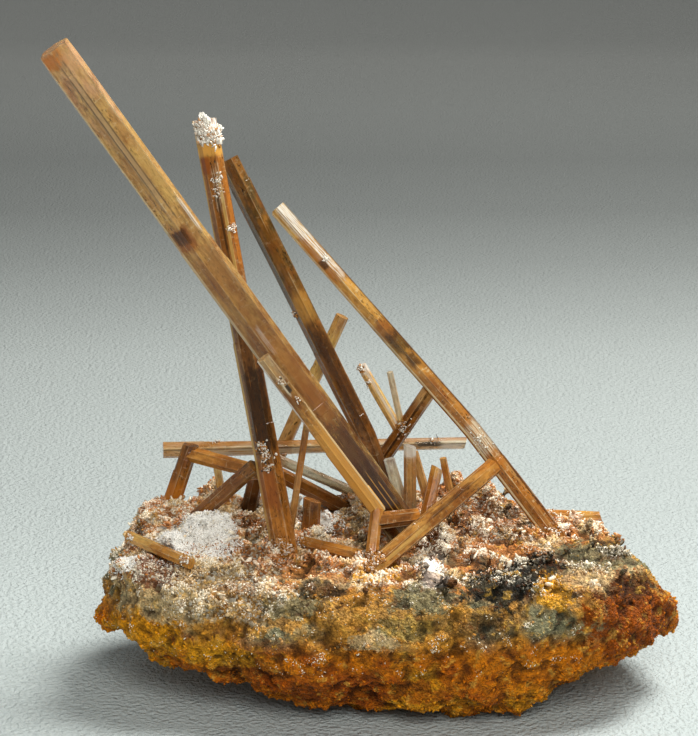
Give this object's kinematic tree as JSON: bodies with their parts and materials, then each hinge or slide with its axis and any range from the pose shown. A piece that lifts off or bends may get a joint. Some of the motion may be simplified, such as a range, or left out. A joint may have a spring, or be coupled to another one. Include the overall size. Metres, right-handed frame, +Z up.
{
  "type": "gypsum crystal specimen on matrix",
  "caption": "Long brown gypsum prisms leaning and crossing over one another on a loose lump of rusty limonite matrix crusted with small crystals.",
  "frame": {"origin": "centre of the flat patch that the matrix stands on", "axes": "+X to the right along the matrix, +Y from the front of the matrix to its back, +Z up"},
  "size_m": [0.156, 0.0819, 0.167],
  "materials": {
    "matrix": "rough limonite rock under a sparkling crust of small gypsum crystals",
    "tan_gypsum": "glossy see-through gypsum clouded tan and pinkish brown",
    "brown_gypsum": "glossy gypsum, olive brown to nearly black with inclusions",
    "amber_gypsum": "glossy see-through amber gypsum",
    "pale_gypsum": "glossy see-through gypsum, pale with fine specks"
  },
  "bodies": {
    "root": {"limonite_matrix": "matrix", "long_leaning_crystal": "tan_gypsum", "steep_crystal": "brown_gypsum", "kinked_crystal": "brown_gypsum", "right_long_crystal": "amber_gypsum", "prop_crystal": "amber_gypsum", "front_crystal": "amber_gypsum", "forked_back_crystal": "brown_gypsum", "cross_crystal": "tan_gypsum", "pale_speckled_crystal": "tan_gypsum", "elbow_crystal": "brown_gypsum", "short_brown_crystal": "brown_gypsum", "brown_root_crystal": "brown_gypsum", "clear_low_crystal": "pale_gypsum", "slim_crystal": "tan_gypsum", "dark_stub_crystal": "brown_gypsum", "pale_stub_crystal": "amber_gypsum", "lying_left_crystal": "amber_gypsum", "lying_front_crystal": "amber_gypsum", "lying_right_crystal": "amber_gypsum", "dark_block_crystal": "brown_gypsum", "grey_upright_crystal": "pale_gypsum", "thin_upright_crystal": "tan_gypsum", "orange_upright_crystal": "amber_gypsum", "tiny_upright_crystal": "tan_gypsum", "white_topped_crystal": "pale_gypsum"}
  },
  "joints": []
}
